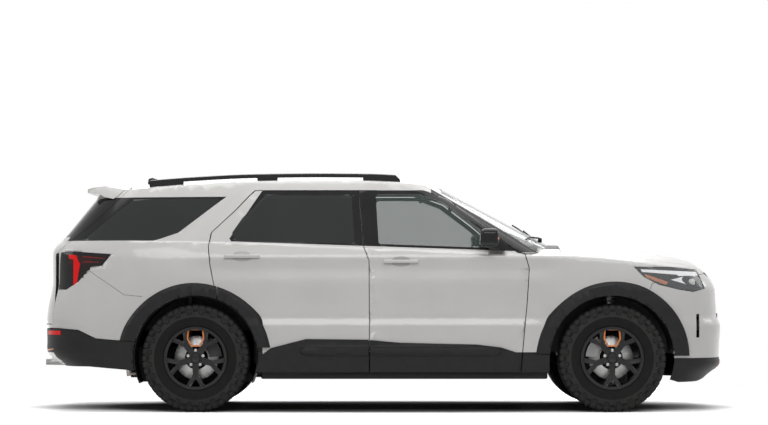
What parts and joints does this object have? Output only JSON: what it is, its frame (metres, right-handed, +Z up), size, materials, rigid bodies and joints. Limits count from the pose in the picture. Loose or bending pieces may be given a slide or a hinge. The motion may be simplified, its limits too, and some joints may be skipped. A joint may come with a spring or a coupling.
{
  "type": "three-row sport utility vehicle",
  "caption": "Five-door family SUV with hollow cabin, opening doors, hood and liftgate, steered front wheels, roof rails and black lower cladding.",
  "frame": {"origin": "on the ground under the middle of the vehicle's length and width", "axes": "+X to the nose, +Y to the vehicle's left side, +Z up"},
  "size_m": [5.0496, 2.26, 1.7498],
  "materials": {
    "body_paint": "warm light grey-white gloss paint",
    "black_trim": "grained black moulded plastic",
    "gloss_black": "gloss black",
    "clear_glass": "light green tinted glass",
    "privacy_glass": "dark privacy glass",
    "lamp_clear": "clear lamp cover over black bezel",
    "lamp_red": "red lamp cover",
    "structure": "dark dipped steel",
    "cast_alloy": "cast aluminium",
    "wheel_black": "satin black painted wheel",
    "tyre_rubber": "tyre rubber",
    "seat_cover": "dark leather-look cover",
    "soft_trim": "dark soft interior moulding",
    "steel_pipe": "dull stainless steel",
    "engine_block": "cast metal"
  },
  "bodies": {
    "root": {"roof_panel": "body_paint", "cowl_panel": "black_trim", "windscreen": "clear_glass", "front_bumper": "body_paint", "front_bumper_lower": "black_trim", "grille": "gloss_black", "intake_mesh": "black_trim", "headlamps": "lamp_clear", "taillamps": "lamp_red", "rear_bumper": "body_paint", "rear_bumper_lower": "black_trim", "underbody": "structure", "engine": "engine_block", "front_suspension": "structure", "rear_suspension": "structure", "exhaust": "steel_pipe", "dashboard": "soft_trim", "front_seats": "seat_cover", "second_row_seat": "seat_cover", "third_row_seat": "seat_cover", "roof_rails": "black_trim", "quarter_glasses": "privacy_glass", "arch_flares": "black_trim", "arch_liners": "black_trim", "side_frame_right": "body_paint", "fender_right": "body_paint", "side_frame_left": "body_paint", "fender_left": "body_paint"},
    "front_door_right": {"front_door_right": "body_paint", "front_door_glass_right": "clear_glass", "front_door_trim_right": "black_trim", "mirror_right": "gloss_black"},
    "rear_door_right": {"rear_door_right": "body_paint", "rear_door_glass_right": "privacy_glass", "rear_door_trim_right": "black_trim"},
    "front_knuckle_right": {"front_knuckle_right": "cast_alloy"},
    "front_wheel_right": {"front_tyre_right": "tyre_rubber", "front_rim_right": "wheel_black"},
    "rear_wheel_right": {"rear_tyre_right": "tyre_rubber", "rear_rim_right": "wheel_black"},
    "front_door_left": {"front_door_left": "body_paint", "front_door_glass_left": "clear_glass", "front_door_trim_left": "black_trim", "mirror_left": "gloss_black"},
    "rear_door_left": {"rear_door_left": "body_paint", "rear_door_glass_left": "privacy_glass", "rear_door_trim_left": "black_trim"},
    "front_knuckle_left": {"front_knuckle_left": "cast_alloy"},
    "front_wheel_left": {"front_tyre_left": "tyre_rubber", "front_rim_left": "wheel_black"},
    "rear_wheel_left": {"rear_tyre_left": "tyre_rubber", "rear_rim_left": "wheel_black"},
    "hood": {"hood": "body_paint"},
    "liftgate": {"liftgate": "body_paint", "liftgate_glass": "privacy_glass"},
    "steering_wheel": {"steering_wheel": "soft_trim"}
  },
  "joints": [
    {"name": "front_door_right_hinge", "type": "hinge", "parent": "root", "child": "front_door_right", "pos_m": [1.054, -0.992, 0.7], "axis": [0, 0, 1], "range_deg": [0, 65]},
    {"name": "rear_door_right_hinge", "type": "hinge", "parent": "root", "child": "rear_door_right", "pos_m": [-0.102, -0.992, 0.7], "axis": [0, 0, 1], "range_deg": [0, 70]},
    {"name": "front_door_left_hinge", "type": "hinge", "parent": "root", "child": "front_door_left", "pos_m": [1.054, 0.992, 0.7], "axis": [0, 0, -1], "range_deg": [0, 65]},
    {"name": "rear_door_left_hinge", "type": "hinge", "parent": "root", "child": "rear_door_left", "pos_m": [-0.102, 0.992, 0.7], "axis": [0, 0, -1], "range_deg": [0, 70]},
    {"name": "hood_hinge", "type": "hinge", "parent": "root", "child": "hood", "pos_m": [1.293, 0, 1.225], "axis": [0, -1, 0], "range_deg": [0, 50]},
    {"name": "liftgate_hinge", "type": "hinge", "parent": "root", "child": "liftgate", "pos_m": [-1.865, 0, 1.68], "axis": [0, 1, 0], "range_deg": [0, 80]},
    {"name": "steer_right", "type": "hinge", "parent": "root", "child": "front_knuckle_right", "pos_m": [1.657, -0.822, 0.205], "axis": [0, 0.2336, 0.9723], "range_deg": [-33, 33]},
    {"name": "steer_left", "type": "hinge", "parent": "root", "child": "front_knuckle_left", "pos_m": [1.657, 0.822, 0.205], "axis": [0, -0.2336, 0.9723], "range_deg": [-33, 33]},
    {"name": "front_wheel_right_spin", "type": "hinge", "parent": "front_knuckle_right", "child": "front_wheel_right", "pos_m": [1.657, -0.85, 0.392], "axis": [0, 1, 0], "continuous": true},
    {"name": "rear_wheel_right_spin", "type": "hinge", "parent": "root", "child": "rear_wheel_right", "pos_m": [-1.368, -0.85, 0.392], "axis": [0, 1, 0], "continuous": true},
    {"name": "front_wheel_left_spin", "type": "hinge", "parent": "front_knuckle_left", "child": "front_wheel_left", "pos_m": [1.657, 0.85, 0.392], "axis": [0, 1, 0], "continuous": true},
    {"name": "rear_wheel_left_spin", "type": "hinge", "parent": "root", "child": "rear_wheel_left", "pos_m": [-1.368, 0.85, 0.392], "axis": [0, 1, 0], "continuous": true},
    {"name": "steering_wheel_turn", "type": "hinge", "parent": "root", "child": "steering_wheel", "pos_m": [0.64, 0.385, 1.035], "axis": [-0.9135, 0, 0.4067], "range_deg": [-462, 462]}
  ],
  "couplings": [
    {"joint": "steer_right", "follows": "steer_left", "ratio": 1},
    {"joint": "steering_wheel_turn", "follows": "steer_left", "ratio": 14}
  ]
}
